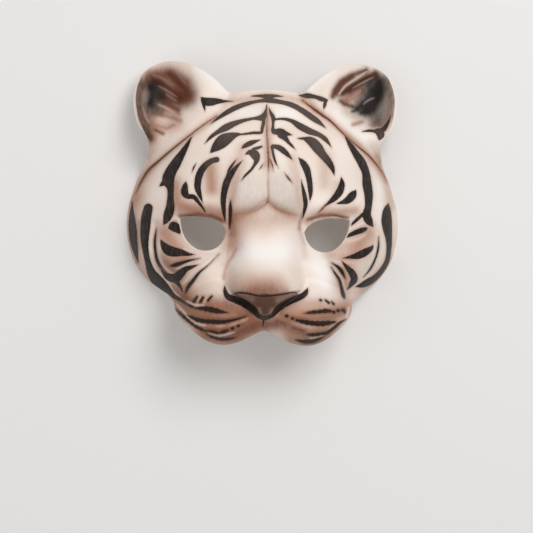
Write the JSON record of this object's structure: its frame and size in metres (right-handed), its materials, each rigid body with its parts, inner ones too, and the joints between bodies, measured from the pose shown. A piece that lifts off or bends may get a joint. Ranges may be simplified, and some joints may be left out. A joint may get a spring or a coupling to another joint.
{
  "type": "tiger half mask",
  "caption": "Moulded half mask of a tiger's upper face with ears, eye holes, nose and whisker pads, painted with dark stripes.",
  "frame": {"origin": "middle of the outline on the surface that the mask lies on", "axes": "+X across the face to the mask's left side as worn, +Y from the muzzle to the ears, +Z out of the face, up from the table"},
  "size_m": [0.1752, 0.1792, 0.092],
  "materials": {
    "painted_foam": "moulded EVA foam, cream airbrushed with tan and brown, charcoal stripes, satin face and pale raw cut edges"
  },
  "bodies": {
    "root": {"tiger_half_mask": "painted_foam"}
  },
  "joints": []
}
